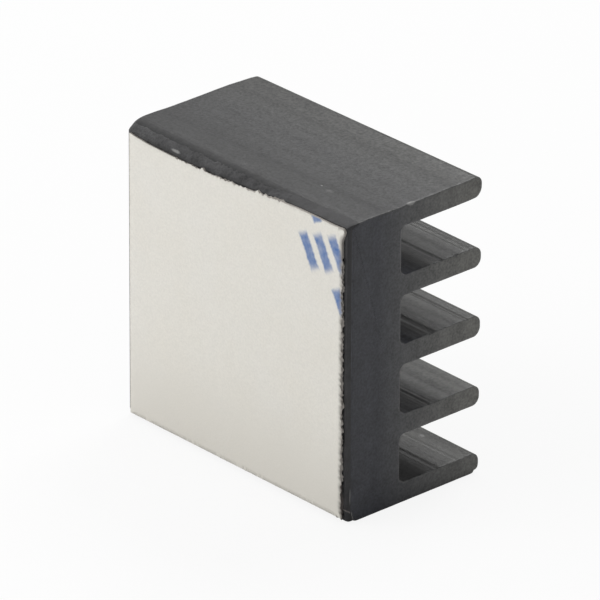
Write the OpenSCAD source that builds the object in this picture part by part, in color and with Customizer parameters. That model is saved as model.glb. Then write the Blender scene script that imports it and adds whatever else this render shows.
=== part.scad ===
// Small finned heat sink: a sawn piece of aluminium extrusion standing on its outer fin,
// with adhesive tape and its release paper on the base.
// Origin at the middle of the standing face, +X along the extrusion, +Y to the fin tips, +Z up.

/* [Metal] */
// Length of the sawn piece, along the extrusion
sink_len = 9; // [5:0.5:40]
// Number of fins
fin_count = 5; // [3:1:9]
// Distance from one fin to the next
fin_pitch = 2.1; // [1.6:0.05:3]
// Thickness of a fin
fin_t = 0.6; // [0.4:0.05:0.9]
// Height of a fin, from the base to its tip
fin_h = 2.95; // [1.5:0.05:8]
// Thickness of the base
base_t = 1.8; // [1:0.1:3]

/* [Edges of the metal] */
// Radius on the two long outer edges of the base
edge_r = 0.25; // [0.1:0.05:0.6]
// Radius on the edges of a fin's tip
tip_r = 0.25; // [0.1:0.05:0.3]
// Radius of the hollow corner where a fin meets the base
root_r = 0.2; // [0.05:0.05:0.3]

/* [Tape and paper] */
// Thickness of the adhesive tape
tape_t = 0.17; // [0.1:0.01:0.4]
// Thickness of the release paper
liner_t = 0.08; // [0.05:0.01:0.2]
// Standing face to the tape's lower edge
tape_low = 0.03; // [0.01:0.01:0.5]
// Radius on the soft lower front edge of the tape
tape_r = 0.12; // [0.02:0.01:0.18]
// Upper side to the tape's upper edge, at the -X end
tape_high_left = 0.34; // [0.05:0.01:0.6]
// Upper side to the tape's upper edge, at the +X end
tape_high_right = 0.05; // [0.03:0.01:0.6]
// Bare strip of tape between the paper and the sawn end at -X
paper_left = 0.1; // [0.02:0.01:0.5]
// Bare strip of tape between the paper and the sawn end at +X
paper_right = 0.11; // [0.02:0.01:0.5]
// Bare strip of tape under the paper, at the -X end
paper_low_left = 0.07; // [0.02:0.01:0.5]
// Bare strip of tape under the paper, at the +X end
paper_low_right = 0.12; // [0.02:0.01:0.5]
// Bare strip of tape above the paper
paper_high = 0.02; // [0.01:0.01:0.3]

/* [Hidden] */
$fn = 64;
// Width across all the fins, which is the height as it stands
sink_w = (fin_count - 1) * fin_pitch + fin_t;
// Depth from the paper to the fin tips
depth = liner_t + tape_t + base_t + fin_h;
// Front face of the metal, foot of the fins and fin tips, along Y
metal_y = liner_t + tape_t - depth / 2;
root_y = metal_y + base_t;
tip_y = root_y + fin_h;
// A tip's two radii leave a narrow flat between them
tip_round = min(tip_r, 0.49 * fin_t);
// Rise of the tape's upper edge for each millimetre along X
tape_rise = (tape_high_left - tape_high_right) / sink_len;
// The cutter that trims the tape reaches past it by this much
past = 1;

// Section drawn in Y and Z, pushed out along X and centred on it
module along_x(len) {
    rotate([90, 0, 90])
        linear_extrude(height = len, center = true)
            children();
}

// A slab from y, with its two front edges rounded
module slab_section(y, z, thick, wide, r) {
    translate([y, z + r])
        square([thick, wide - 2 * r]);
    translate([y + r, z])
        square([thick - r, wide]);
    for (edge_z = [z + r, z + wide - r])
        translate([y + r, edge_z])
            circle(r = r);
}

// One fin with a rounded tip, its foot sunk to the middle of the base
module fin_section() {
    foot_y = metal_y + base_t / 2;
    translate([foot_y, 0])
        square([tip_y - tip_round - foot_y, fin_t]);
    translate([foot_y, tip_round])
        square([tip_y - foot_y, fin_t - 2 * tip_round]);
    for (z = [tip_round, fin_t - tip_round])
        translate([tip_y - tip_round, z])
            circle(r = tip_round);
}

// Hollow corner between the base and a fin's upper side
module root_fillet() {
    difference() {
        translate([-root_r, -root_r])
            square(2 * root_r);
        translate([root_r, root_r])
            circle(r = root_r);
    }
}

module sink_section() {
    slab_section(metal_y, 0, base_t, sink_w, edge_r);
    for (i = [0 : fin_count - 1])
        translate([0, i * fin_pitch])
            fin_section();
    for (i = [0 : fin_count - 2]) {
        translate([root_y, i * fin_pitch + fin_t])
            root_fillet();
        translate([root_y, (i + 1) * fin_pitch])
            mirror([0, 1])
                root_fillet();
    }
}

module sink_body() {
    color([0.25, 0.25, 0.26])
        along_x(sink_len)
            sink_section();
}

// Height of the tape's upper edge at a place along X
function tape_top(x) = sink_w - tape_high_left + tape_rise * (x + sink_len / 2);

// All that lies above the tape's upper edge
module above_tape() {
    far_x = -sink_len / 2 - past;
    near_x = sink_len / 2 + past;
    translate([0, metal_y + edge_r + past, 0])
        rotate([90, 0, 0])
            linear_extrude(height = tape_t + edge_r + 2 * past)
                polygon([
                    [far_x, tape_top(far_x)],
                    [near_x, tape_top(near_x)],
                    [near_x, sink_w + past],
                    [far_x, sink_w + past],
                ]);
}

// The tape is flush with the sawn ends and also fills the hollows of the base's rounded edges
module thermal_tape() {
    color([0.13, 0.12, 0.13])
        difference() {
            along_x(sink_len)
                difference() {
                    slab_section(metal_y - tape_t, tape_low, tape_t + edge_r, sink_w + tape_r, tape_r);
                    slab_section(metal_y, 0, base_t, sink_w, edge_r);
                }
            above_tape();
        }
}

// The paper is cut askew together with the tape
module release_liner() {
    left_x = paper_left - sink_len / 2;
    right_x = sink_len / 2 - paper_right;
    color([0.87, 0.86, 0.83])
        translate([0, metal_y - tape_t, 0])
            rotate([90, 0, 0])
                linear_extrude(height = liner_t)
                    polygon([
                        [left_x, tape_low + paper_low_left],
                        [right_x, tape_low + paper_low_right],
                        [right_x, tape_top(right_x) - paper_high],
                        [left_x, tape_top(left_x) - paper_high],
                    ]);
}

sink_body();
thermal_tape();
release_liner();
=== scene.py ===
import math
import random

import bpy
from mathutils import Matrix, Vector, noise
from mathutils.geometry import delaunay_2d_cdt


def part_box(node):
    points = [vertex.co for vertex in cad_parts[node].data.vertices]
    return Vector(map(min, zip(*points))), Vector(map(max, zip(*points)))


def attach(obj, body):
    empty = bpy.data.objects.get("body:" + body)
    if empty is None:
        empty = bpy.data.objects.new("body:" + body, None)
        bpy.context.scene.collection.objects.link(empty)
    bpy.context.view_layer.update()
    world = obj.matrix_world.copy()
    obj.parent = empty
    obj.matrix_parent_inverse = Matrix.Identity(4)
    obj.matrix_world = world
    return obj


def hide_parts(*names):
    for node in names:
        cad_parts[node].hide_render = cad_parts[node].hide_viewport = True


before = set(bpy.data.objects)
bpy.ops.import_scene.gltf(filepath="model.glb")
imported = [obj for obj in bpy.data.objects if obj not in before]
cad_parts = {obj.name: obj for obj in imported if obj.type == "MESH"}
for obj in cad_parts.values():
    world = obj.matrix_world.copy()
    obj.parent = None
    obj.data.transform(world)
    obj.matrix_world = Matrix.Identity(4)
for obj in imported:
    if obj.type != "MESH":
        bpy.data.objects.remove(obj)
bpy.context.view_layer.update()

# A small black anodised heat sink, standing on its outer fin, with adhesive tape and release paper.
# Lengths are in millimetres until a mesh is written: MM turns them into metres.
MM = 0.001

# Sizes of the pieces, from the frame where it gives them


def node_box(node):
    """Low and high corner of a node of the CAD model."""
    low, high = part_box(node)
    return low / MM, high / MM


BODY_LOW, BODY_HIGH = node_box("sink_body")
TAPE_FRONT = node_box("thermal_tape")[0].y
PAPER_FRONT, PAPER_BACK = (corner.y for corner in node_box("release_liner"))

HALF_LENGTH = BODY_HIGH.x
METAL_FRONT = BODY_LOW.y
FIN_TIP = BODY_HIGH.y
SINK_HEIGHT = BODY_HIGH.z
FIN_COUNT = 5
FIN_THICK = 0.6
HALF_FIN = 0.5 * FIN_THICK
FIN_TALL = 2.95
FIN_ROOT = FIN_TIP - FIN_TALL
FIN_PITCH = (SINK_HEIGHT - FIN_THICK) / (FIN_COUNT - 1)
EDGE_ROUND = 0.25
TIP_ROUND = 0.25
ROOT_ROUND = 0.2
# The upper front edge is rounded more widely along Y than down Z
UPPER_EDGE_ALONG = 0.50
UPPER_EDGE_DOWN = 0.15

# The uppermost fin is twisted: down at its far end and up at its near end, most of all at its tip.
# The twist starts at one height, is full at the next, and grows towards the tip by a power.
TWIST_DOWN = 0.09
TWIST_UP = 0.045
TWIST_FROM = 8.1
TWIST_FULL = 8.4
TWIST_POWER = 10.0
# How far each fin, counted from below, is set above its true place, and its lower side once more.
# Both are full at a distance from the root.
FIN_SET = (0.0, -0.017, 0.025, 0.008, 0.0)
FIN_LOWER = (0.0, 0.0, -0.033, -0.012, -0.02)
SET_FULL = 0.5

# How closely the section is followed: its longest step, and the degrees between points of an arc
SECTION_STEP = 0.03
ARC_STEP = 6.0
# A point is on a flat upper side if it is this near to it and its outward direction is this upright
ON_SIDE = 0.01
UPRIGHT = 0.9

# Lines that the die left along the fins' upper sides: fin from the top, Y, depth, half width
FIN_LINES = (
    (2, 1.03, 0.012, 0.09),
    (2, 2.00, 0.011, 0.05),
    (2, 2.17, 0.009, 0.04),
    (3, 0.73, 0.015, 0.14),
    (3, 1.15, 0.006, 0.07),
    (3, 1.98, 0.027, 0.07),
    (4, 0.80, 0.008, 0.06),
    (4, 0.63, 0.010, 0.06),
    (4, 0.85, 0.018, 0.75),
    (5, 0.95, 0.016, 0.09),
    (5, 0.80, 0.004, 0.06),
    (5, 1.32, 0.004, 0.06),
    (5, 1.62, 0.004, 0.06),
    (5, 1.82, 0.005, 0.12),
)
# The uppermost side is slightly hollow, with soft steps: Y, depth. They shift along Y for each
# millimetre along X, and the uppermost layer of the metal follows them.
UPPER_HOLLOW = (
    (-1.75, 0.0),
    (-1.28, 0.002),
    (-1.05, 0.0125),
    (-0.70, 0.0165),
    (-0.40, 0.015),
    (-0.20, 0.018),
    (1.32, -0.004),
    (1.54, 0.005),
    (1.75, 0.007),
    (2.25, 0.001),
)
UPPER_ASKEW = 0.022
UPPER_LAYER = 0.1
# Fine lines and longer waves all round the section, and the share of both on the uppermost side
FINE_LINE_SEED = 7
FINE_LINE_DEPTH = 0.0010
LONG_WAVE_DEPTH = 0.0016
LONG_WAVE = 0.35
UPPER_SIDE_LINES = 0.3

# Small break along the sawn edges, with a few dents on the near end: Y, Z, half length, depth
BREAK_MIN = 0.008
BREAK_SPREAD = 0.016
BREAK_WAVE = 0.35
END_DENTS = (
    (-0.09, 9.00, 0.12, 0.075),
    (1.57, 6.90, 0.06, 0.070),
    (2.37, 0.05, 0.10, 0.080),
    (-0.75, 9.00, 0.16, 0.030),
    (0.62, 4.80, 0.10, 0.035),
    (-2.20, 0.18, 0.18, 0.040),
)
DENT_STEEP = 2.0
# Rings of the metal from a sawn end inwards: distance from the end and more of it in shares of the
# break, inset and more of it in shares of the break, wear
SINK_RINGS = (
    (0.0, 0.0, 0.07, 1.0, 0.0),
    (0.0, 0.0, 0.0, 1.0, 1.0),
    (0.0, 0.3, 0.0, 0.3, 1.0),
    (0.0, 1.0, 0.0, 0.0, 1.0),
    (0.07, 1.0, 0.0, 0.0, 0.1),
    (0.30, 0.0, 0.0, 0.0, 0.0),
    (1.50, 0.0, 0.0, 0.0, 0.0),
    (3.00, 0.0, 0.0, 0.0, 0.0),
)

# Each wavering edge is read from a slice of the noise of its own
LONG_WAVE_SLICE = (0.5, 0.5)
FAR_BREAK_SLICE = (-3.0, 1.5)
NEAR_BREAK_SLICE = (3.0, 1.5)
TAPE_SLICE = (0.3, 0.2)

# Soft tape, cut along its upper edge with the paper, and filling the hollows at the metal's edges.
# The bare strip above the paper, the height of the lower edge, and how both waver:
TAPE_BARE = 0.02
TAPE_FOOT = 0.015
TAPE_WAVER = 0.012
TAPE_WAVE = 0.3
# The lower edge's radius, the reach of its lip behind the metal's front, the distance between
# sections, and how far the tape is sunk into the metal
TAPE_LOWER_ROUND = 0.20
TAPE_LIP = 0.22
TAPE_STEP = 0.035
TAPE_SUNK = 0.004
# The slope above the cut: its least height, the depth of its bend and the bend's least share of the
# height, its steps, and its lumps with their share where the edge is calm
TAPE_LEAST_RISE = 0.03
TAPE_STEEP = 0.03
TAPE_LEAST_BEND = 0.3
TAPE_SLOPE_STEPS = 14
TAPE_LUMP = 0.016
TAPE_LUMP_WAVE = 0.09
TAPE_CALM = 0.3
# Depths below the slope's crest at which the back of the tape follows the metal
TAPE_BACK_STEPS = (0.09, 0.18, 0.30)
# Rounding of the tape's cut ends: distance from the end, inset. The front takes a share of the
# inset, and both ends lie a little back from the metal's.
TAPE_FAR_END = ((0.0, 0.014), (0.008, 0.006), (0.03, 0.0))
TAPE_NEAR_END = ((0.0, 0.045), (0.012, 0.022), (0.04, 0.008), (0.09, 0.0))
TAPE_FRONT_INSET = 0.3
TAPE_NEAR_BACK = 0.004
TAPE_FAR_BACK = 0.006
# How high the tape creeps onto the metal's rounded edge: X, height. Its dust there: X, share.
TAPE_CREEP = ((1.0, 8.93), (2.2, 8.97), (3.6, 8.985))
TAPE_DUST = ((-3.8, 0.7), (-3.0, 0.42), (-1.0, 0.42), (1.2, 0.10))

# The paper's outline seen from the front, X and Z: its upper edge from left to right,
# and the rest from its lower left corner round its right side
PAPER_UPPER = (
    (-4.395, 8.725),
    (-4.10, 8.685),
    (-3.60, 8.645),
    (-2.25, 8.630),
    (-1.00, 8.660),
    (0.23, 8.715),
    (1.91, 8.85),
    (2.60, 8.893),
    (3.49, 8.905),
    (4.00, 8.905),
    (4.39, 8.925),
)
PAPER_OTHER = (
    (-4.395, 0.105),
    (4.375, 0.165),
    (4.36, 8.20),
    (4.355, 8.50),
    (4.39, 8.62),
    (4.455, 8.74),
    (4.475, 8.83),
    (4.45, 8.895),
)
PAPER_STEP = 0.035
PAPER_GRID = 0.25
GRID_SEED = 11
GRID_JITTER = 0.2
# Beyond this height a point of the outline is on the upper edge, beyond this X on the right edge
PAPER_TOP_FROM = 8.4
PAPER_RIGHT_FROM = 4.2
# How far the edge is torn in and out, where it is torn or only frayed, and how little elsewhere
RAGGED = 0.075
RAGGED_WAVE = 0.085
SMOOTH_CUT = 0.006
RAGGED_TOP = (-0.7, 2.0)
FRAYED_TOP = (-2.5, 2.0)
FRAYED = 0.4
RAGGED_RIGHT_BELOW = 8.0
# Tufts of torn fibre that stand up from the upper edge: X, height
TUFTS = ((-1.34, 0.075), (0.96, 0.095))
TUFT_HALF = 0.05
# Towards the far end the paper's upper edge has come away: X, gap
LIFTED = ((0.2, 0.03), (1.4, 0.0))
# Layers of the paper's edge from front to back: share of its thickness, inset, slice of the noise,
# share of the gap
PAPER_LAYERS = (
    (0.05, 0.012, 0.2, 0.0),
    (0.3, 0.0, 0.9, 0.4),
    (0.7, 0.005, 1.7, 0.8),
    (1.0, 0.0, 2.3, 1.0),
)
# Borders of the paper's flat front and back, inside the edge. They narrow towards its corners,
# where they would cross themselves.
FRONT_BORDER = 0.15
BACK_BORDER = 0.20
LEAST_BORDER = 0.02
BORDER_TO_CORNER = 0.6
PAPER_CORNERS = (PAPER_OTHER[0], PAPER_OTHER[1], PAPER_OTHER[-1], PAPER_UPPER[0])
# The paper's front waves a little
COCKLE = 0.004
COCKLE_WAVE = 1.4
COCKLE_SLICE = 0.7
# Wear of the paper: clean, rubbed along its front rim, torn, and grimy low on its right side
CLEAN = 0.0
RIM_RUBBED = 0.25
RIGHT_RIM_RUBBED = 0.60
TORN = 1.0
GRIMY = 2.0
GRIMY_BELOW = 1.25

# Edges that turn by more degrees than this stay sharp
BODY_SHARP = 50
TAPE_SHARP = 40
PAPER_SHARP = 60

# Triangulation: only inside the rim, and points nearer than this are the same
INSIDE_RIM = 1
SAME_POINT = 1e-7


# Shapes that more than one piece uses


def held(value):
    """A value held between 0 and 1."""
    return min(1.0, max(0.0, value))


def value_at(row, place):
    """Value at a place, from a row of places and values. It stays the same beyond both ends."""
    place = min(row[-1][0], max(row[0][0], place))
    for (left, first), (right, last) in zip(row, row[1:]):
        if place <= right:
            break
    return first + (last - first) * (place - left) / (right - left)


def waver(distance, wave, noise_slice):
    """Smooth chance between -1 and 1 along an edge."""
    return noise.noise((distance / wave, *noise_slice))


def oval_arc(y, z, along, down, start, end):
    """Points of an oval stretch of the section, between two angles in degrees."""
    steps = round(abs(end - start) / ARC_STEP)
    turns = [math.radians(start + (end - start) * i / steps) for i in range(steps + 1)]
    return [Vector((y + along * math.cos(t), z + down * math.sin(t))) for t in turns]


def arc(y, z, radius, start, end):
    return oval_arc(y, z, radius, radius, start, end)


def filled(points, step):
    """The closed outline with more points, so that none of its sides is longer than step."""
    dense = []
    for here, there in zip(points, points[1:] + points[:1]):
        count = max(1, math.ceil((there - here).length / step))
        dense += [here.lerp(there, i / count) for i in range(count)]
    return dense


def outward(points):
    """Outward direction at each point of a closed outline that runs counter-clockwise."""
    normals = []
    for before, after in zip(points[-1:] + points[:-1], points[1:] + points[:1]):
        along = after - before
        normals.append(Vector((along.y, -along.x)).normalized())
    return normals


def ring_faces(first, second, count):
    """Quads between two closed rings of points, each given by the index of its first point."""
    return [
        (first + i, first + (i + 1) % count, second + (i + 1) % count, second + i)
        for i in range(count)
    ]


def write_mesh(name, points, faces, looks, slots, wear, sharp):
    """A mesh object from points in millimetres, with smooth faces and the wear of each point."""
    mesh = bpy.data.meshes.new(name)
    mesh.from_pydata([Vector(p) * MM for p in points], [], faces)
    for look in looks:
        mesh.materials.append(look)
    mesh.polygons.foreach_set("material_index", slots)
    mesh.polygons.foreach_set("use_smooth", [True] * len(faces))
    worn = mesh.attributes.new("wear", "FLOAT", "POINT")
    worn.data.foreach_set("value", wear)
    mesh.set_sharp_from_angle(angle=math.radians(sharp))
    mesh.update()
    piece = bpy.data.objects.new(name, mesh)
    bpy.context.scene.collection.objects.link(piece)
    return piece


# The metal


def sink_section():
    """Outline of base and fins in Y and Z, counter-clockwise from the lower front edge."""
    y_tip = FIN_TIP - TIP_ROUND
    y_root = FIN_ROOT + ROOT_ROUND
    y_edge = METAL_FRONT + EDGE_ROUND
    points = arc(y_edge, EDGE_ROUND, EDGE_ROUND, 180, 270)
    for fin in range(FIN_COUNT):
        low = fin * FIN_PITCH
        high = low + FIN_THICK
        if fin > 0:
            points += arc(y_root, low - ROOT_ROUND, ROOT_ROUND, 180, 90)
        points += arc(y_tip, low + TIP_ROUND, TIP_ROUND, 270, 360)
        points += arc(y_tip, high - TIP_ROUND, TIP_ROUND, 0, 90)
        if fin < FIN_COUNT - 1:
            points += arc(y_root, high + ROOT_ROUND, ROOT_ROUND, 270, 180)
    y_upper = METAL_FRONT + UPPER_EDGE_ALONG
    z_upper = SINK_HEIGHT - UPPER_EDGE_DOWN
    points += oval_arc(y_upper, z_upper, UPPER_EDGE_ALONG, UPPER_EDGE_DOWN, 90, 180)
    return filled(points, SECTION_STEP)


def fin_line_depth(point, normal):
    """Depth of the die's lines at a point of the section."""
    depth = 0.0
    if normal.y < UPRIGHT:
        return depth
    for fin, y, deep, half in FIN_LINES:
        top = (FIN_COUNT - fin) * FIN_PITCH + FIN_THICK
        off = abs(point.x - y) / half
        if abs(point.y - top) < ON_SIDE and off < 1.0:
            depth += deep * (1.0 - off * off)
    return depth


def drawn_section():
    """The section with the fine lines of the die worked into it, and its outward directions."""
    points = sink_section()
    normals = outward(points)
    chance = random.Random(FINE_LINE_SEED)
    drawn = []
    for i, (point, normal) in enumerate(zip(points, normals)):
        fine = chance.uniform(-1.0, 1.0) * FINE_LINE_DEPTH
        wave = waver(i * SECTION_STEP, LONG_WAVE, LONG_WAVE_SLICE) * LONG_WAVE_DEPTH
        if point.y > SINK_HEIGHT - ON_SIDE:
            relief = UPPER_SIDE_LINES * (fine + wave)
        else:
            relief = fine + wave - fin_line_depth(point, normal)
        drawn.append(point + normal * relief)
    return drawn, normals


def edge_break(points, noise_slice, dents):
    """How far the sawn edge is broken at each point of the section, on one end of the metal."""
    cuts = []
    for i, point in enumerate(points):
        roll = 0.5 + 0.5 * waver(i * SECTION_STEP, BREAK_WAVE, noise_slice)
        cut = BREAK_MIN + BREAK_SPREAD * roll * roll
        for y, z, half, deep in dents:
            off = (point - Vector((y, z))).length / half
            cut += deep * math.exp(-off * off * DENT_STEEP)
        cuts.append(cut)
    return cuts


def hollow_depth(y):
    """Depth of the uppermost side's hollow at a place along Y."""
    return value_at(UPPER_HOLLOW, y) if y < UPPER_HOLLOW[-1][0] else 0.0


def uneven(x, y, z):
    """How far a point of a fin lies above its true place."""
    to_far = (HALF_LENGTH - x) / (2.0 * HALF_LENGTH)
    to_tip = max(0.0, (y - METAL_FRONT) / (FIN_TIP - METAL_FRONT)) ** TWIST_POWER
    in_fin = held((z - TWIST_FROM) / (TWIST_FULL - TWIST_FROM))
    twist = (TWIST_UP - (TWIST_UP + TWIST_DOWN) * to_far) * to_tip * in_fin
    fin = min(FIN_COUNT - 1, max(0, round((z - HALF_FIN) / FIN_PITCH)))
    rise = held((y - FIN_ROOT) / SET_FULL)
    below = held(fin * FIN_PITCH / HALF_FIN + 1.0 - z / HALF_FIN)
    hollow = hollow_depth(y - UPPER_ASKEW * x) if z > SINK_HEIGHT - UPPER_LAYER else 0.0
    return twist + (FIN_SET[fin] + FIN_LOWER[fin] * below) * rise - hollow


def make_sink(drawn_look, sawn_look):
    """The metal, from rings of its section along X."""
    section, normals = drawn_section()
    count = len(section)
    points = []
    wear = []
    far_end = (-1.0, SINK_RINGS, edge_break(section, FAR_BREAK_SLICE, ()))
    near_end = (1.0, SINK_RINGS[::-1], edge_break(section, NEAR_BREAK_SLICE, END_DENTS))
    for side, rings, cuts in (far_end, near_end):
        for back, back_share, inset, inset_share, worn in rings:
            for point, normal, cut in zip(section, normals, cuts):
                at = point - normal * (inset + inset_share * cut)
                x = side * (HALF_LENGTH - back - back_share * cut)
                points.append((x, at.x, at.y + uneven(x, at.x, at.y)))
                # The front is under the tape, where nothing rubs it
                wear.append(0.0 if point.x < METAL_FRONT + EDGE_ROUND else worn)
    # The second look, sawn, is on both end faces and on the narrow band round each
    faces = []
    slots = []
    last = 2 * len(SINK_RINGS) - 1
    for ring in range(last):
        faces += ring_faces(ring * count, (ring + 1) * count, count)
        slots += [1 if ring in (0, last - 1) else 0] * count
    faces.append(tuple(reversed(range(count))))
    faces.append(tuple(range(last * count, (last + 1) * count)))
    slots += [1, 1]
    looks = (drawn_look, sawn_look)
    return write_mesh("finned_body", points, faces, looks, slots, wear, BODY_SHARP)


# The tape


def metal_edge(z):
    """Y of the metal's front face at a height, on its flat or on its rounded upper edge."""
    up = max(0.0, (z - SINK_HEIGHT) / UPPER_EDGE_DOWN + 1.0)
    return METAL_FRONT + UPPER_EDGE_ALONG * (1.0 - math.sqrt(1.0 - min(1.0, up) ** 2))


def metal_slope(z):
    """Rise of the metal's rounded upper edge for each millimetre along Y, at a height."""
    down = (SINK_HEIGHT - z) / UPPER_EDGE_DOWN
    across = math.sqrt(max(0.0, 1.0 - (1.0 - down) ** 2))
    return UPPER_EDGE_DOWN / UPPER_EDGE_ALONG * across / (1.0 - down)


def tape_slope(x, front, top, high):
    """Lumpy upper slope of the tape at one place along X, from its front up to the metal."""
    foot = Vector((front, top))
    crest = Vector((metal_edge(high) + TAPE_SUNK, high))
    least_z = top + TAPE_LEAST_BEND * (high - top)
    bend_z = max(least_z, high - metal_slope(high) * (crest.x - front - TAPE_STEEP))
    bend = Vector((front + TAPE_STEEP, bend_z))
    smooth = []
    for i in range(TAPE_SLOPE_STEPS + 1):
        share = i / TAPE_SLOPE_STEPS
        smooth.append(foot.lerp(bend, share).lerp(bend.lerp(crest, share), share))
    rough = TAPE_LUMP if FRAYED_TOP[0] < x < FRAYED_TOP[1] else TAPE_CALM * TAPE_LUMP
    points = [smooth[0]]
    for before, point, after in zip(smooth, smooth[1:], smooth[2:]):
        along = (after - before).normalized()
        lump = rough * noise.noise(Vector((x, point.x, point.y)) / TAPE_LUMP_WAVE)
        points.append(point + lump * Vector((-along.y, along.x)))
    points.append(smooth[-1])
    return points


def tape_section(x, inset):
    """Outline of the tape in Y and Z at one place along X, from its lower lip round its front."""
    lift = TAPE_WAVER * waver(x, TAPE_WAVE, TAPE_SLICE)
    top = value_at(PAPER_UPPER, x) + TAPE_BARE + lift - inset
    high = max(top + TAPE_LEAST_RISE, value_at(TAPE_CREEP, x) - inset)
    foot = TAPE_FOOT + 0.5 * TAPE_WAVER + 0.5 * lift + inset
    front = TAPE_FRONT + TAPE_FRONT_INSET * inset
    points = [Vector((METAL_FRONT + TAPE_LIP, foot))]
    points += arc(front + TAPE_LOWER_ROUND, foot + TAPE_LOWER_ROUND, TAPE_LOWER_ROUND, 270, 180)
    points += tape_slope(x, front, top, high)
    for down in TAPE_BACK_STEPS:
        points.append(Vector((metal_edge(high - down) + TAPE_SUNK, high - down)))
    points.append(Vector((METAL_FRONT + TAPE_SUNK, foot + TAPE_LOWER_ROUND)))
    return points


def make_tape(look):
    """The tape, from sections along X, with its dust as wear."""
    far_end = TAPE_FAR_BACK - HALF_LENGTH
    near_end = HALF_LENGTH - TAPE_NEAR_BACK
    row = [(far_end + back, inset) for back, inset in TAPE_FAR_END]
    first = row[-1][0]
    length = near_end - TAPE_NEAR_END[-1][0] - first
    count = round(length / TAPE_STEP)
    row += [(first + length * i / count, 0.0) for i in range(1, count)]
    row += [(near_end - back, inset) for back, inset in reversed(TAPE_NEAR_END)]
    points = []
    dust = []
    for x, inset in row:
        section = tape_section(x, inset)
        points += [(x, p.x, p.y) for p in section]
        edge = value_at(PAPER_UPPER, x)
        share = value_at(TAPE_DUST, x) if x < near_end - TAPE_NEAR_END[1][0] else 0.0
        dust += [share if p.y > edge else 0.0 for p in section]
    faces = []
    ring = len(section)
    for i in range(len(row) - 1):
        faces += ring_faces((i + 1) * ring, i * ring, ring)
    last = (len(row) - 1) * ring
    faces.append(tuple(range(ring)))
    faces.append(tuple(reversed(range(last, last + ring))))
    return write_mesh("tape_layer", points, faces, (look,), [0] * len(faces), dust, TAPE_SHARP)


# The paper


def inner_points(rim):
    """A jittered grid of points inside the paper's rim, clear of it."""
    chance = random.Random(GRID_SEED)
    low_x = min(p.x for p in rim)
    high_x = max(p.x for p in rim)
    low_z = min(p.y for p in rim)
    high_z = max(p.y for p in rim)
    across = int((high_x - low_x) / PAPER_GRID)
    up = int((high_z - low_z) / PAPER_GRID)
    clear = 2 * PAPER_GRID
    found = []
    for i in range(1, across):
        for j in range(1, up):
            aside = chance.uniform(-GRID_JITTER, GRID_JITTER) * PAPER_GRID
            above = chance.uniform(-GRID_JITTER, GRID_JITTER) * PAPER_GRID
            x = low_x + (high_x - low_x) * i / across + aside
            z = low_z + (high_z - low_z) * j / up + above
            in_x = low_x + PAPER_GRID < x < high_x - PAPER_GRID
            if in_x and low_z + clear < z < high_z - clear:
                found.append(Vector((x, z)))
    return found


def cockle(x, z):
    """How far the paper's front lies behind its foremost place."""
    return COCKLE + COCKLE * noise.noise((x / COCKLE_WAVE, z / COCKLE_WAVE, COCKLE_SLICE))


def ragged_share(at):
    """How ragged the paper's edge is at a point of its outline, from 0 to 1."""
    if at.x > PAPER_RIGHT_FROM and at.y < RAGGED_RIGHT_BELOW:
        return 1.0
    if at.y > PAPER_TOP_FROM and RAGGED_TOP[0] < at.x < RAGGED_TOP[1]:
        return 1.0
    if at.y > PAPER_TOP_FROM and FRAYED_TOP[0] < at.x < FRAYED_TOP[1]:
        return FRAYED
    return 0.0


def torn(at, noise_slice):
    """How far the paper's edge is torn in at a point of its outline, in one of its layers."""
    reach = SMOOTH_CUT + (RAGGED - SMOOTH_CUT) * ragged_share(at)
    bite = noise.noise((at.x / RAGGED_WAVE, at.y / RAGGED_WAVE, noise_slice)) * reach
    if at.y > PAPER_TOP_FROM:
        for x, tall in TUFTS:
            off = (at.x - x) / TUFT_HALF
            bite -= tall * math.exp(-off * off)
    return bite


def lifted(at):
    """Gap behind the paper at a point of its outline."""
    return value_at(LIFTED, at.x) if at.y > PAPER_TOP_FROM else 0.0


def paper_rim_wear(at):
    """Wear of the paper's front rim at a point of its outline."""
    return RIGHT_RIM_RUBBED if at.x > PAPER_RIGHT_FROM else RIM_RUBBED


def paper_edge_wear(at):
    """Wear of the paper's cut edge at a point of its outline."""
    return GRIMY if at.x > PAPER_RIGHT_FROM and at.y < GRIMY_BELOW else TORN


def border(at, width):
    """Width of a flat's border at a point of the outline."""
    to_corner = min((at - Vector(corner)).length for corner in PAPER_CORNERS)
    return min(width, max(LEAST_BORDER, BORDER_TO_CORNER * to_corner))


def paper_rings(outline):
    """Rings of the paper from front to back: Y, and the inset and wear of each point."""
    clean = [CLEAN] * len(outline)
    rings = [(PAPER_FRONT, [border(at, FRONT_BORDER) for at in outline], clean)]
    for layer, (share, cut, noise_slice, gap) in enumerate(PAPER_LAYERS):
        y = PAPER_FRONT + share * (PAPER_BACK - PAPER_FRONT)
        insets = [cut + torn(at, noise_slice) + gap * lifted(at) for at in outline]
        wear_at = paper_rim_wear if layer == 0 else paper_edge_wear
        rings.append((y, insets, [wear_at(at) for at in outline]))
    rings.append((PAPER_BACK, [border(at, BACK_BORDER) for at in outline], clean))
    return rings


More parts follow.
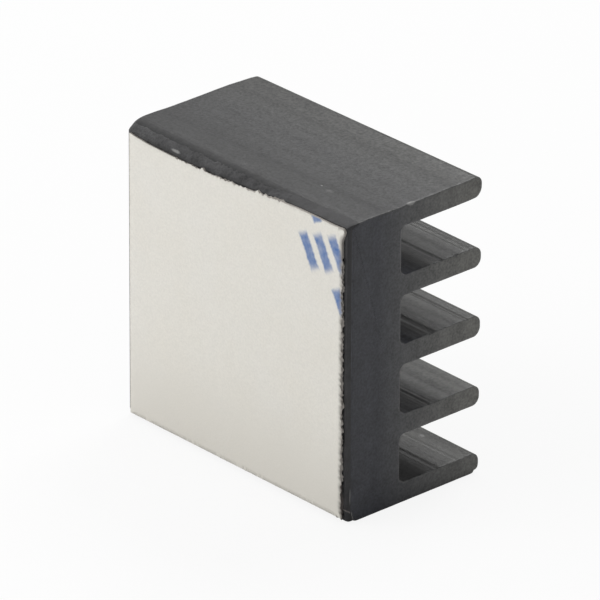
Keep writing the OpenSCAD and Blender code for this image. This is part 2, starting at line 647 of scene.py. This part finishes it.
def make_liner(look):
    """The paper, from rings of its outline along Y."""
    outline = filled([Vector(p) for p in PAPER_OTHER + PAPER_UPPER[::-1]], PAPER_STEP)
    inward = [-turn for turn in outward(outline)]
    count = len(outline)
    rings = paper_rings(outline)
    points = []
    wear = []
    for y, insets, worn in rings:
        for point, turn, inset in zip(outline, inward, insets):
            at = point + turn * inset
            points.append((at.x, y, at.y))
        wear += worn
    faces = []
    last = len(rings) - 1
    for ring in range(last):
        faces += ring_faces((ring + 1) * count, ring * count, count)
    # The front and the back are filled with triangles, and only the front waves
    loop = [(i, (i + 1) % count) for i in range(count)]
    for ring, front in ((0, True), (last, False)):
        first = ring * count
        rim = [Vector((x, z)) for x, _, z in points[first:first + count]]
        found = delaunay_2d_cdt(rim + inner_points(rim), loop, [], INSIDE_RIM, SAME_POINT)
        corners, _, triangles, sources = found[:4]
        place = []
        for at, source in zip(corners, sources):
            if source and source[0] < count:
                place.append(first + source[0])
            else:
                place.append(len(points))
                depth = cockle(at.x, at.y) if front else 0.0
                points.append((at.x, rings[ring][0] + depth, at.y))
                wear.append(CLEAN)
        for triangle in triangles:
            face = tuple(place[i] for i in triangle)
            faces.append(face if front else face[::-1])
    return write_mesh("paper_liner", points, faces, (look,), [0] * len(faces), wear, PAPER_SHARP)


# Shader building blocks

VALUE = "NodeSocketFloat"
VECTOR = "NodeSocketVector"
ORIGIN = (0.0, 0.0, 0.0)
MIDDLE = (0.5, 0.5, 0.5)
PER_MM = (1.0 / MM, 1.0 / MM, 1.0 / MM)


class Nodes:
    """Places and links the nodes of one shader tree."""

    def __init__(self, tree):
        self.tree = tree

    def link(self, value, socket):
        self.tree.links.new(value, socket)

    def add(self, kind, inputs=None, **settings):
        """A new node, with each input linked to another node's output or set to a plain value."""
        made = self.tree.nodes.new(kind)
        for name, value in settings.items():
            setattr(made, name, value)
        for socket, value in (inputs or {}).items():
            if isinstance(value, bpy.types.NodeSocket):
                self.link(value, made.inputs[socket])
            else:
                made.inputs[socket].default_value = value
        return made

    def group(self, tree, inputs):
        return self.add("ShaderNodeGroup", inputs, node_tree=tree).outputs

    def math(self, operation, first, second):
        return self.add("ShaderNodeMath", {0: first, 1: second}, operation=operation).outputs[0]

    def plus(self, first, second):
        return self.math("ADD", first, second)

    def minus(self, first, second):
        return self.math("SUBTRACT", first, second)

    def times(self, first, second):
        return self.math("MULTIPLY", first, second)

    def over(self, first, second):
        return self.math("DIVIDE", first, second)

    def larger(self, first, second):
        return self.math("MAXIMUM", first, second)

    def vector(self, operation, first, second=ORIGIN):
        made = self.add("ShaderNodeVectorMath", {0: first, 1: second}, operation=operation)
        return made.outputs["Vector"]

    def scale(self, vector, factor):
        made = self.add("ShaderNodeVectorMath", {0: vector, "Scale": factor}, operation="SCALE")
        return made.outputs["Vector"]

    def axes(self, position):
        return self.add("ShaderNodeSeparateXYZ", {0: position}).outputs

    def spread(self, value, start, end, low, high, kind="LINEAR"):
        """A straight change of value from low at start to high at end."""
        inputs = {"Value": value, "From Min": start, "From Max": end, "To Min": low, "To Max": high}
        return self.add("ShaderNodeMapRange", inputs, interpolation_type=kind).outputs["Result"]

    def fade(self, value, start, end):
        """A smooth step of value from 0 at start to 1 at end."""
        return self.spread(value, start, end, 0.0, 1.0, "SMOOTHSTEP")

    def between(self, share, low, high):
        """A share from 0 to 1 turned into a value from low to high."""
        return self.spread(share, 0.0, 1.0, low, high)

    def stretched(self, value, low):
        """Noise that runs from low to as much below 1, stretched to run from 0 to 1."""
        return self.spread(value, low, 1.0 - low, 0.0, 1.0)

    def ramp(self, place, zone, low=0.0, high=1.0):
        """A straight change over a zone given in millimetres."""
        return self.spread(place, zone[0] * MM, zone[1] * MM, low, high)

    def soft_ramp(self, place, zone):
        """A smooth step from 0 to 1 over a zone given in millimetres."""
        return self.fade(place, zone[0] * MM, zone[1] * MM)

    def mix(self, share, first, second):
        inputs = {0: share, 6: first, 7: second}
        return self.add("ShaderNodeMix", inputs, data_type="RGBA").outputs[2]

    def shade(self, colour, value):
        """A colour made lighter or darker by a value around 1."""
        grey = self.add("ShaderNodeCombineColor", {0: value, 1: value, 2: value}).outputs[0]
        inputs = {0: 1.0, 6: colour, 7: grey}
        return self.add("ShaderNodeMix", inputs, data_type="RGBA", blend_type="MULTIPLY").outputs[2]

    def noise(self, position, detail, roughness, scale=1.0):
        inputs = {"Vector": position, "Scale": scale, "Detail": detail, "Roughness": roughness}
        return self.add("ShaderNodeTexNoise", inputs).outputs


def new_group(name, inputs, outputs):
    """An empty node group with named sockets: its node maker, its inputs and its outputs."""
    tree = bpy.data.node_groups.new(name, "ShaderNodeTree")
    for socket, kind, value in inputs:
        made = tree.interface.new_socket(name=socket, in_out="INPUT", socket_type=kind)
        made.default_value = value
    for socket in outputs:
        tree.interface.new_socket(name=socket, in_out="OUTPUT", socket_type=VALUE)
    given = tree.nodes.new("NodeGroupInput").outputs
    result = tree.nodes.new("NodeGroupOutput").inputs
    return Nodes(tree), given, result


def streak_group():
    """Lines drawn out along one direction: Pitch is their size in millimetres along X, Y and Z."""
    inputs = (("Position", VECTOR, ORIGIN), ("Pitch", VECTOR, (1.0, 1.0, 1.0)))
    nodes, given, result = new_group("streaks", inputs, ("Lines", "Bands"))
    place = nodes.vector("MULTIPLY", given["Position"], PER_MM)
    fine = nodes.vector("DIVIDE", place, given["Pitch"])
    lines = nodes.noise(fine, detail=3.0, roughness=0.65)["Fac"]
    coarse = nodes.vector("MULTIPLY", fine, (0.45, 0.16, 0.16))
    bands = nodes.noise(coarse, detail=2.0, roughness=0.55)["Fac"]
    nodes.link(nodes.stretched(lines, 0.25), result["Lines"])
    nodes.link(nodes.stretched(bands, 0.28), result["Bands"])
    return nodes.tree


def mottle_group():
    """Soft clouds and a fine grain: both sizes in millimetres."""
    inputs = (("Position", VECTOR, ORIGIN), ("Cloud size", VALUE, 1.0), ("Grain size", VALUE, 0.05))
    nodes, given, result = new_group("mottle", inputs, ("Cloud", "Grain"))
    place = nodes.vector("MULTIPLY", given["Position"], PER_MM)
    for socket, size, detail in (("Cloud", "Cloud size", 4.0), ("Grain", "Grain size", 2.0)):
        scaled = nodes.scale(place, nodes.over(1.0, given[size]))
        cloud = nodes.noise(scaled, detail, roughness=0.55)["Fac"]
        nodes.link(nodes.stretched(cloud, 0.3), result[socket])
    return nodes.tree


def edge_wear_group():
    """Rubbed edges: the mesh's own wear, broken up by a grain with its size in millimetres."""
    inputs = (("Position", VECTOR, ORIGIN), ("Wear", VALUE, 0.0), ("Grain size", VALUE, 0.1))
    nodes, given, result = new_group("edge_wear", inputs, ("Mask",))
    scaled = nodes.scale(given["Position"], nodes.over(1.0 / MM, given["Grain size"]))
    grain = nodes.noise(scaled, detail=3.0, roughness=0.6)["Fac"]
    broken = nodes.plus(given["Wear"], nodes.spread(grain, 0.3, 0.7, -0.75, 0.15))
    nodes.link(nodes.fade(broken, 0.1, 0.9), result["Mask"])
    return nodes.tree


def speck_group():
    """Scattered specks of lint: Spacing is in millimetres, and Size is a share of it."""
    inputs = (("Position", VECTOR, ORIGIN), ("Spacing", VALUE, 0.5), ("Size", VALUE, 0.1))
    nodes, given, result = new_group("specks", inputs, ("Mask",))
    scaled = nodes.scale(given["Position"], nodes.over(1.0 / MM, given["Spacing"]))
    cells = nodes.add("ShaderNodeTexVoronoi", {"Vector": scaled, "Scale": 1.0}).outputs
    # Only some of the cells hold a speck, and no speck has a size of quite 0
    chosen = nodes.add("ShaderNodeSeparateColor", {0: cells["Color"]}).outputs[0]
    reach = nodes.times(given["Size"], nodes.fade(chosen, 0.6, 1.0))
    near = nodes.over(cells["Distance"], nodes.larger(reach, 0.0001))
    nodes.link(nodes.fade(near, 1.0, 0.5), result["Mask"])
    return nodes.tree


def mark_group():
    """One mark with a ragged rim, turned about Y: Centre and Half size are in millimetres."""
    inputs = (
        ("Position", VECTOR, ORIGIN),
        ("Centre", VECTOR, ORIGIN),
        ("Half size", VECTOR, (0.1, 0.1, 0.1)),
        ("Turn", VALUE, 0.0),
        ("Ragged", VALUE, 0.03),
        ("Soft", VALUE, 0.3),
    )
    nodes, given, result = new_group("mark", inputs, ("Oval", "Bar"))
    place = nodes.vector("MULTIPLY", given["Position"], PER_MM)
    grain = nodes.noise(place, detail=2.0, roughness=0.6, scale=9.0)["Color"]
    rim = nodes.scale(nodes.vector("SUBTRACT", grain, MIDDLE), given["Ragged"])
    offset = nodes.vector("ADD", nodes.vector("SUBTRACT", place, given["Centre"]), rim)
    turn = {"Vector": offset, "Angle": given["Turn"]}
    turned = nodes.add("ShaderNodeVectorRotate", turn, rotation_type="Y_AXIS").outputs["Vector"]
    scaled = nodes.vector("DIVIDE", turned, given["Half size"])
    far = nodes.add("ShaderNodeVectorMath", {0: scaled}, operation="LENGTH").outputs["Value"]
    sides = nodes.axes(nodes.vector("ABSOLUTE", scaled))
    most = nodes.larger(sides["X"], nodes.larger(sides["Y"], sides["Z"]))
    inner = nodes.minus(1.0, given["Soft"])
    outer = nodes.plus(1.0, given["Soft"])
    for socket, measure in (("Oval", far), ("Bar", most)):
        nodes.link(nodes.fade(measure, outer, inner), result[socket])
    return nodes.tree


STREAKS = streak_group()
MOTTLE = mottle_group()
EDGE_WEAR = edge_wear_group()
SPECKS = speck_group()
MARK = mark_group()


def new_look(name):
    """A material with an empty Principled surface: its node maker, position and shader."""
    look = bpy.data.materials.new(name)
    look.use_nodes = True
    look.node_tree.nodes.clear()
    nodes = Nodes(look.node_tree)
    shader = nodes.add("ShaderNodeBsdfPrincipled")
    nodes.add("ShaderNodeOutputMaterial", {"Surface": shader.outputs[0]})
    position = nodes.add("ShaderNodeTexCoord").outputs["Object"]
    return look, nodes, position, shader


def mottled(nodes, position, cloud, grain):
    return nodes.group(MOTTLE, {"Position": position, "Cloud size": cloud, "Grain size": grain})


def wear_of(nodes):
    return nodes.add("ShaderNodeAttribute", attribute_name="wear").outputs["Fac"]


def rubbed_edges(nodes, position):
    wear = {"Position": position, "Wear": wear_of(nodes), "Grain size": 0.12}
    return nodes.group(EDGE_WEAR, wear)["Mask"]


def lint_specks(nodes, position, spacing, size):
    return nodes.group(SPECKS, {"Position": position, "Spacing": spacing, "Size": size})["Mask"]


def all_marks(nodes, position, marks, shape, ragged, soft):
    """The masks of several marks joined into one: each has a centre, a half size and a turn."""
    joined = None
    for centre, half, turn in marks:
        inputs = {
            "Position": position,
            "Centre": centre,
            "Half size": half,
            "Turn": math.radians(turn),
            "Ragged": ragged,
            "Soft": soft,
        }
        mask = nodes.group(MARK, inputs)[shape]
        joined = mask if joined is None else nodes.larger(joined, mask)
    return joined


def end_lines(nodes, position, lines):
    """Fine lines on the near end. They are laid out in Y and Z, so X and Y trade places."""
    axes = nodes.axes(position)
    traded = {0: axes["Y"], 1: axes["X"], 2: axes["Z"]}
    turned = nodes.add("ShaderNodeCombineXYZ", traded).outputs[0]
    marks = [((y, HALF_LENGTH, z), (END_LINE_HALF, END_LINE_REACH, half), turn)
             for y, z, half, turn in lines]
    return all_marks(nodes, turned, marks, "Oval", ragged=0.03, soft=0.4)


def set_surface(nodes, shader, colour, roughness, height, depth):
    """Colour, roughness and relief of a surface, with the relief's depth in millimetres."""
    nodes.link(colour, shader.inputs["Base Color"])
    nodes.link(roughness, shader.inputs["Roughness"])
    bump = nodes.add("ShaderNodeBump", {"Height": height, "Strength": 1.0, "Distance": depth * MM})
    nodes.link(bump.outputs["Normal"], shader.inputs["Normal"])


# Materials

ANODISED = (0.018, 0.018, 0.0187, 1.0)
# Painted shade towards the front, painted light towards the fin tips and in the slots at the roots
ANODISED_FRONT_SHADE = (0.007, 0.007, 0.0075, 1.0)
ANODISED_TIP_LIGHT = (0.095, 0.095, 0.085, 1.0)
ANODISED_ROOT_LIGHT = (0.056, 0.059, 0.073, 1.0)
SAWN = (0.033, 0.0345, 0.042, 1.0)
# Painted light towards the fin tips of the sawn ends
SAWN_TIP_LIGHT = (0.133, 0.132, 0.121, 1.0)
RUBBED = (0.13, 0.13, 0.13, 1.0)
LINT = (0.22, 0.22, 0.215, 1.0)
CRACK = (0.12, 0.105, 0.10, 1.0)
TAPE_DARK = (0.016, 0.0155, 0.017, 1.0)
TAPE_DUSTY = (0.064, 0.064, 0.065, 1.0)
PAPER = (0.80, 0.78, 0.725, 1.0)
PAPER_WARM = (0.79, 0.765, 0.70, 1.0)
# Painted shade low on the paper
PAPER_LOW_SHADE = (0.735, 0.71, 0.65, 1.0)
PAPER_CUT = (0.31, 0.29, 0.265, 1.0)
PAPER_GRIME = (0.075, 0.065, 0.06, 1.0)
INK = (0.085, 0.175, 0.41, 1.0)

# Size of the die's lines and of the saw marks along X, Y and Z
DIE_LINE_PITCH = (9.0, 0.06, 0.06)
SAW_MARK_PITCH = (0.3, 0.07, 2.2)

# Zones over which the tone of the drawn metal changes: along Y towards the tips (painted light),
# the front (painted shade) and the roots (painted light), and along Z up to where the painted light
# at the roots is strongest and onto the uppermost side
TIP_LIGHT_ZONE = (0.3, FIN_TIP)
FRONT_SHADE_ZONE = (-0.4, -1.9)
ROOT_LIGHT_ZONE = (0.6, -0.2)
ROOT_LIGHT_CLIMB = (0.6, 5.0)
UPPER_ZONE = (8.6, 8.9)
# Share of the painted light at the tips that is left on the uppermost fin, and of the streaks on
# its upper side, and share of the grain elsewhere
UPPERMOST_TIP_LIGHT = 0.36
UPPERMOST_STREAKS = 0.3
GRAIN_ELSEWHERE = 0.5
# The same for a sawn end: painted light along Y towards the tips, along Z up from the lowest fin,
# and the share of it left on the lowest fin, which is painted shade near the floor
SAWN_TIP_LIGHT_ZONE = (-1.3, 2.2)
SAWN_SHADE_CLIMB = (0.0, 2.0)
SAWN_LOWEST_LIGHT_SHARE = 0.78
# Painted shade: the paper is darker low down, near the floor
PAPER_LOW_SHADE_ZONE = (3.4, 0.2)
# Wear at which the paper's cut edge has its full colour
PAPER_CUT_FULL = 0.9

# Light flecks and rubs: centre, half size, turn
BODY_FLECKS = (
    ((2.75, 2.0, 0.6), (0.09, 0.05, 0.05), 0.0),
    ((4.48, -0.08, 9.0), (0.08, 0.13, 0.08), 0.0),
    ((2.09, -1.19, 9.0), (0.03, 0.025, 0.05), 0.0),
)
# A fainter smudge on the uppermost side
BODY_SMUDGES = (((2.49, -1.27, 9.0), (0.12, 0.07, 0.06), 0.0),)
TAPE_FLECKS = (((-2.56, -2.40, 8.765), (0.17, 0.06, 0.045), 0.0),)

# Light lines on the near end, where the lower corner is rubbed and cracked: Y, Z, half length, turn
CORNER_RUBS = (
    (-2.195, 0.25, 0.07, 4.0),
    (-2.16, 0.125, 0.08, 22.0),
    (-2.255, 0.81, 0.22, 0.0),
)
CORNER_CRACKS = ((-2.33, 0.378, 0.17, 56.0),)
END_LINE_HALF = 0.022
END_LINE_REACH = 0.2

# Plain blue dashes across the paper's corner, cut off by its edge: X, Z, half length
PRINT_DASHES = (
    (3.04, 7.80, 0.50),
    (3.62, 7.94, 0.50),
    (4.20, 8.08, 0.50),
    (4.30, 6.70, 0.36),
    (3.32, 8.92, 0.16),
)
PRINT_HALF_WIDTH = 0.17
PRINT_REACH = 1.0
PRINT_TURN = 28.0


def drawn_tone_and_painted_light(nodes, axes, upper_side):
    """Colour of the drawn metal: painted shade in front, painted light at the roots and lower fins'
    tips.
    """
    # Painted light towards the tips, strongest on the lower fins, painted light in the slots at the
    # roots and painted shade towards the front
    tip = nodes.ramp(axes["Y"], TIP_LIGHT_ZONE)
    lower = nodes.ramp(axes["Z"], (0.0, SINK_HEIGHT), 1.0, UPPERMOST_TIP_LIGHT)
    root = nodes.times(nodes.soft_ramp(axes["Y"], ROOT_LIGHT_ZONE), nodes.ramp(axes["Z"], ROOT_LIGHT_CLIMB))
    root = nodes.times(root, nodes.minus(1.0, upper_side))
    colour = nodes.mix(nodes.ramp(axes["Y"], FRONT_SHADE_ZONE), ANODISED, ANODISED_FRONT_SHADE)
    colour = nodes.mix(nodes.times(tip, lower), colour, ANODISED_TIP_LIGHT)
    return nodes.mix(root, colour, ANODISED_ROOT_LIGHT)


def drawn_look():
    """Black anodised metal with the die's fine lines along X, grainy on its uppermost side."""
    look, nodes, position, shader = new_look("anodised_drawn")
    axes = nodes.axes(position)
    upper_side = nodes.soft_ramp(axes["Z"], UPPER_ZONE)
    streaks = nodes.group(STREAKS, {"Position": position, "Pitch": DIE_LINE_PITCH})
    mottle = mottled(nodes, position, cloud=1.3, grain=0.035)
    speckle = mottled(nodes, position, cloud=0.25, grain=0.09)
    # Bands and grains run about evenly below and above 0
    streaky = nodes.between(upper_side, 1.0, UPPERMOST_STREAKS)
    bands = nodes.times(nodes.minus(streaks["Bands"], 0.5), streaky)
    grainy = nodes.between(upper_side, GRAIN_ELSEWHERE, 1.0)
    grains = nodes.plus(speckle["Grain"], nodes.times(speckle["Cloud"], 0.5))
    grains = nodes.times(nodes.minus(grains, 0.75), grainy)

    band_tone = nodes.spread(bands, -0.5, 0.5, 0.55, 1.45)
    cloud_tone = nodes.between(mottle["Cloud"], -0.15, 0.15)
    tone = nodes.plus(nodes.plus(band_tone, cloud_tone), nodes.times(grains, 1.1))
    colour = nodes.shade(drawn_tone_and_painted_light(nodes, axes, upper_side), tone)
    # The rubbed edges are partly real wear and partly painted light, which brightens the edge break
    # where it would mirror dark
    rubbed = nodes.times(rubbed_edges(nodes, position), 0.55)
    colour = nodes.mix(rubbed, colour, RUBBED)
    lint = nodes.times(lint_specks(nodes, position, spacing=0.55, size=0.07), 0.35)
    flecks = all_marks(nodes, position, BODY_FLECKS, "Oval", ragged=0.05, soft=0.4)
    smudges = all_marks(nodes, position, BODY_SMUDGES, "Oval", ragged=0.06, soft=0.6)
    light = nodes.larger(nodes.larger(lint, flecks), nodes.times(smudges, 0.2))
    colour = nodes.mix(light, colour, LINT)

    band_gloss = nodes.spread(bands, -0.5, 0.5, 0.42, 0.30)
    cloud_gloss = nodes.between(mottle["Cloud"], -0.03, 0.05)
    roughness = nodes.minus(nodes.plus(band_gloss, cloud_gloss), nodes.times(grains, 0.09))

    height = nodes.plus(nodes.times(streaks["Lines"], streaky), nodes.times(bands, 4.2))
    height = nodes.plus(height, nodes.times(mottle["Grain"], 0.8))
    height = nodes.plus(height, nodes.times(grains, 0.9))
    set_surface(nodes, shader, colour, roughness, height, depth=0.0012)
    return look


def sawn_look():
    """Black anodised metal with upright saw marks and painted light towards the fin tips."""
    look, nodes, position, shader = new_look("anodised_sawn")
    axes = nodes.axes(position)
    streaks = nodes.group(STREAKS, {"Position": position, "Pitch": SAW_MARK_PITCH})
    mottle = mottled(nodes, position, cloud=0.5, grain=0.07)
    # Painted light towards the fin tips, with less of it on the lowest fin as painted shade near
    # the floor
    climb = nodes.ramp(axes["Z"], SAWN_SHADE_CLIMB, SAWN_LOWEST_LIGHT_SHARE)
    tip = nodes.times(nodes.ramp(axes["Y"], SAWN_TIP_LIGHT_ZONE), climb)
    band_tone = nodes.between(streaks["Bands"], 0.88, 1.12)
    cloud_tone = nodes.between(mottle["Cloud"], -0.18, 0.18)
    grain_tone = nodes.between(mottle["Grain"], -0.30, 0.30)
    tone = nodes.plus(nodes.plus(band_tone, cloud_tone), grain_tone)
    colour = nodes.shade(nodes.mix(tip, SAWN, SAWN_TIP_LIGHT), tone)
    rubbed = nodes.times(rubbed_edges(nodes, position), 0.4)
    rubs = end_lines(nodes, position, CORNER_RUBS)
    colour = nodes.mix(nodes.larger(rubbed, rubs), colour, RUBBED)
    lint = nodes.times(lint_specks(nodes, position, spacing=0.6, size=0.06), 0.5)
    colour = nodes.mix(lint, colour, LINT)
    roughness = nodes.between(streaks["Lines"], 0.38, 0.50)
    height = nodes.plus(streaks["Lines"], nodes.times(mottle["Grain"], 0.6))
    set_surface(nodes, shader, colour, roughness, height, depth=0.0014)
    shader.inputs["Specular IOR Level"].default_value = 0.40
    return look


def tape_look():
    """Dark adhesive film, slightly lumpy, with dust and lint stuck to it."""
    look, nodes, position, shader = new_look("adhesive_film")
    mottle = mottled(nodes, position, cloud=0.35, grain=0.05)
    cloud_tone = nodes.between(mottle["Cloud"], 0.55, 1.45)
    grain_tone = nodes.between(mottle["Grain"], -0.45, 0.45)
    colour = nodes.mix(wear_of(nodes), TAPE_DARK, TAPE_DUSTY)
    colour = nodes.shade(colour, nodes.plus(cloud_tone, grain_tone))
    lint = nodes.times(lint_specks(nodes, position, spacing=0.4, size=0.10), 0.4)
    flecks = all_marks(nodes, position, TAPE_FLECKS, "Oval", ragged=0.06, soft=0.4)
    colour = nodes.mix(nodes.larger(lint, flecks), colour, LINT)
    colour = nodes.mix(end_lines(nodes, position, CORNER_CRACKS), colour, CRACK)
    colour = nodes.mix(end_lines(nodes, position, CORNER_RUBS), colour, RUBBED)
    roughness = nodes.between(mottle["Grain"], 0.42, 0.58)
    height = nodes.plus(mottle["Cloud"], nodes.times(mottle["Grain"], 0.3))
    set_surface(nodes, shader, colour, roughness, height, depth=0.004)
    return look


def paper_look():
    """Matt off-white release paper with a torn beige edge and plain blue dashes."""
    look, nodes, position, shader = new_look("release_paper")
    mottle = mottled(nodes, position, cloud=1.6, grain=0.06)
    patches = mottled(nodes, position, cloud=0.22, grain=0.03)["Cloud"]
    colour = nodes.mix(mottle["Cloud"], PAPER, PAPER_WARM)
    colour = nodes.shade(colour, nodes.between(mottle["Grain"], 0.955, 1.03))
    # Painted shade on the lower part of the paper
    low_shade = nodes.soft_ramp(nodes.axes(position)["Z"], PAPER_LOW_SHADE_ZONE)
    colour = nodes.mix(low_shade, colour, PAPER_LOW_SHADE)
    dashes = [((x, PAPER_FRONT, z), (PRINT_HALF_WIDTH, PRINT_REACH, half), PRINT_TURN)
              for x, z, half in PRINT_DASHES]
    ink = all_marks(nodes, position, dashes, "Bar", ragged=0.10, soft=0.28)
    colour = nodes.mix(nodes.times(ink, nodes.between(patches, 0.70, 1.0)), colour, INK)
    wear = wear_of(nodes)
    colour = nodes.mix(nodes.fade(wear, CLEAN, PAPER_CUT_FULL), colour, PAPER_CUT)
    colour = nodes.mix(nodes.fade(wear, TORN, GRIMY), colour, PAPER_GRIME)
    roughness = nodes.between(mottle["Grain"], 0.55, 0.7)
    height = nodes.plus(mottle["Grain"], nodes.times(patches, 0.6))
    set_surface(nodes, shader, colour, roughness, height, depth=0.0018)
    shader.inputs["Specular IOR Level"].default_value = 0.3
    return look


# The object's pieces

finned_body = make_sink(drawn_look(), sawn_look())
tape_layer = make_tape(tape_look())
paper_liner = make_liner(paper_look())

for piece, node, slot in (
    (finned_body, "sink_body", "anodised_metal"),
    (tape_layer, "thermal_tape", "adhesive_tape"),
    (paper_liner, "release_liner", "liner_paper"),
):
    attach(piece, "root")
    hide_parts(node)

# Floor, world, lamps and camera

scene = bpy.context.scene
scene.view_settings.view_transform = "Standard"

WHITE = (1.0, 1.0, 1.0, 1.0)
# The floor's half width in metres, its colour with faint clouds, and its share of plain white:
# as it is shown, as it is mirrored and as it lights the object
FLOOR_HALF = 0.5
FLOOR_PALE = (0.74, 0.74, 0.74, 1.0)
FLOOR_CLOUDS = (0.995, 1.005)
FLOOR_SHOWN_WHITE = 0.88
FLOOR_MIRRORED_WHITE = 0.0
FLOOR_LIT_WHITE = 0.0
# Strength of the room: as light, as it is shown and as it is mirrored
ROOM_LIGHT = 0.42
ROOM_SHOWN = 1.0
ROOM_MIRRORED = 0.40
# Lamps: name, azimuth and elevation in degrees, distance, width and height in metres, level,
# and whether it is mirrored
LAMPS = (
    ("key_lamp", -28.0, 42.0, 0.15, 0.10, 0.10, 0.40, False),
    ("back_lamp", -165.0, 55.0, 0.30, 0.12, 0.12, 0.38, False),
    ("back_panel", -138.0, 41.0, 0.16, 0.060, 0.060, 0.1225, True),
    ("side_panel", -75.0, 37.0, 0.20, 0.32, 0.17, 0.340, True),
)
LAMP_AIM = (0.0, 0.0, 4.5)
# Camera: direction and roll in degrees, then its distance, aim and lens in millimetres
VIEW_AZIMUTH = 48.160
VIEW_ELEVATION = 25.988
VIEW_ROLL = 0.257
VIEW_DISTANCE = 253.11
VIEW_AIM = (-0.4325, 0.2976, 4.1470)
LENS = 550.23


def by_ray(nodes, shown, mirrored, other):
    """One value for rays from the camera or through glass, one for gloss and one for all others."""
    path = nodes.add("ShaderNodeLightPath").outputs
    direct = nodes.larger(path["Is Camera Ray"], path["Is Transmission Ray"])
    value = nodes.between(path["Is Glossy Ray"], other, mirrored)
    return nodes.between(direct, value, shown)


def make_floor():
    look = bpy.data.materials.new("pale_floor")
    look.use_nodes = True
    look.node_tree.nodes.clear()
    nodes = Nodes(look.node_tree)
    position = nodes.add("ShaderNodeTexCoord").outputs["Object"]
    mottle = mottled(nodes, position, cloud=40.0, grain=0.5)
    colour = nodes.shade(FLOOR_PALE, nodes.between(mottle["Cloud"], *FLOOR_CLOUDS))
    plain = nodes.add("ShaderNodeBsdfDiffuse", {"Color": colour})
    white = nodes.add("ShaderNodeEmission", {"Color": WHITE, "Strength": 1.0})
    share = by_ray(nodes, FLOOR_SHOWN_WHITE, FLOOR_MIRRORED_WHITE, FLOOR_LIT_WHITE)
    both = nodes.add("ShaderNodeMixShader", {0: share, 1: plain.outputs[0], 2: white.outputs[0]})
    nodes.add("ShaderNodeOutputMaterial", {"Surface": both.outputs[0]})
    sides = ((-1, -1), (1, -1), (1, 1), (-1, 1))
    corners = [(x * FLOOR_HALF, y * FLOOR_HALF, 0.0) for x, y in sides]
    mesh = bpy.data.meshes.new("floor")
    mesh.from_pydata(corners, [], [(0, 1, 2, 3)])
    mesh.materials.append(look)
    floor = bpy.data.objects.new("floor", mesh)
    scene.collection.objects.link(floor)


def make_world():
    world = bpy.data.worlds.new("soft_room")
    world.use_nodes = True
    world.node_tree.nodes.clear()
    nodes = Nodes(world.node_tree)
    strength = by_ray(nodes, ROOM_SHOWN, ROOM_MIRRORED, ROOM_LIGHT)
    air = nodes.add("ShaderNodeBackground", {"Color": WHITE, "Strength": strength})
    nodes.add("ShaderNodeOutputWorld", {"Surface": air.outputs[0]})
    scene.world = world


def direction(azimuth, elevation):
    """Direction from the object to a lamp or the camera. Azimuth 0 is in front of the paper."""
    a = math.radians(azimuth)
    e = math.radians(elevation)
    return Vector((math.sin(a) * math.cos(e), -math.cos(a) * math.cos(e), math.sin(e)))


def soft_lamp(name, azimuth, elevation, distance, wide, tall, level, mirrored):
    """A flat lamp aimed at the object. Level is the white that it gives a surface facing it."""
    lamp = bpy.data.lights.new(name, "AREA")
    lamp.shape = "RECTANGLE"
    lamp.size = wide
    lamp.size_y = tall
    lamp.energy = level * (math.pi * distance) ** 2
    back = direction(azimuth, elevation)
    made = bpy.data.objects.new(name, lamp)
    made.location = back * distance + Vector(LAMP_AIM) * MM
    made.rotation_mode = "QUATERNION"
    made.rotation_quaternion = back.to_track_quat("Z", "Y")
    made.visible_camera = False
    made.visible_glossy = mirrored
    scene.collection.objects.link(made)


def make_camera():
    a = math.radians(VIEW_AZIMUTH)
    r = math.radians(VIEW_ROLL)
    back = direction(VIEW_AZIMUTH, VIEW_ELEVATION)
    level = Vector((math.cos(a), math.sin(a), 0.0))
    upright = back.cross(level)
    right = level * math.cos(r) + upright * math.sin(r)
    up = upright * math.cos(r) - level * math.sin(r)
    lens = bpy.data.cameras.new("camera")
    lens.lens = LENS
    camera = bpy.data.objects.new("camera", lens)
    place = (Vector(VIEW_AIM) + back * VIEW_DISTANCE) * MM
    turn = Matrix((right, up, back)).transposed().to_4x4()
    camera.matrix_world = Matrix.Translation(place) @ turn
    scene.collection.objects.link(camera)
    scene.camera = camera


make_floor()
make_world()
for lamp in LAMPS:
    soft_lamp(*lamp)
make_camera()
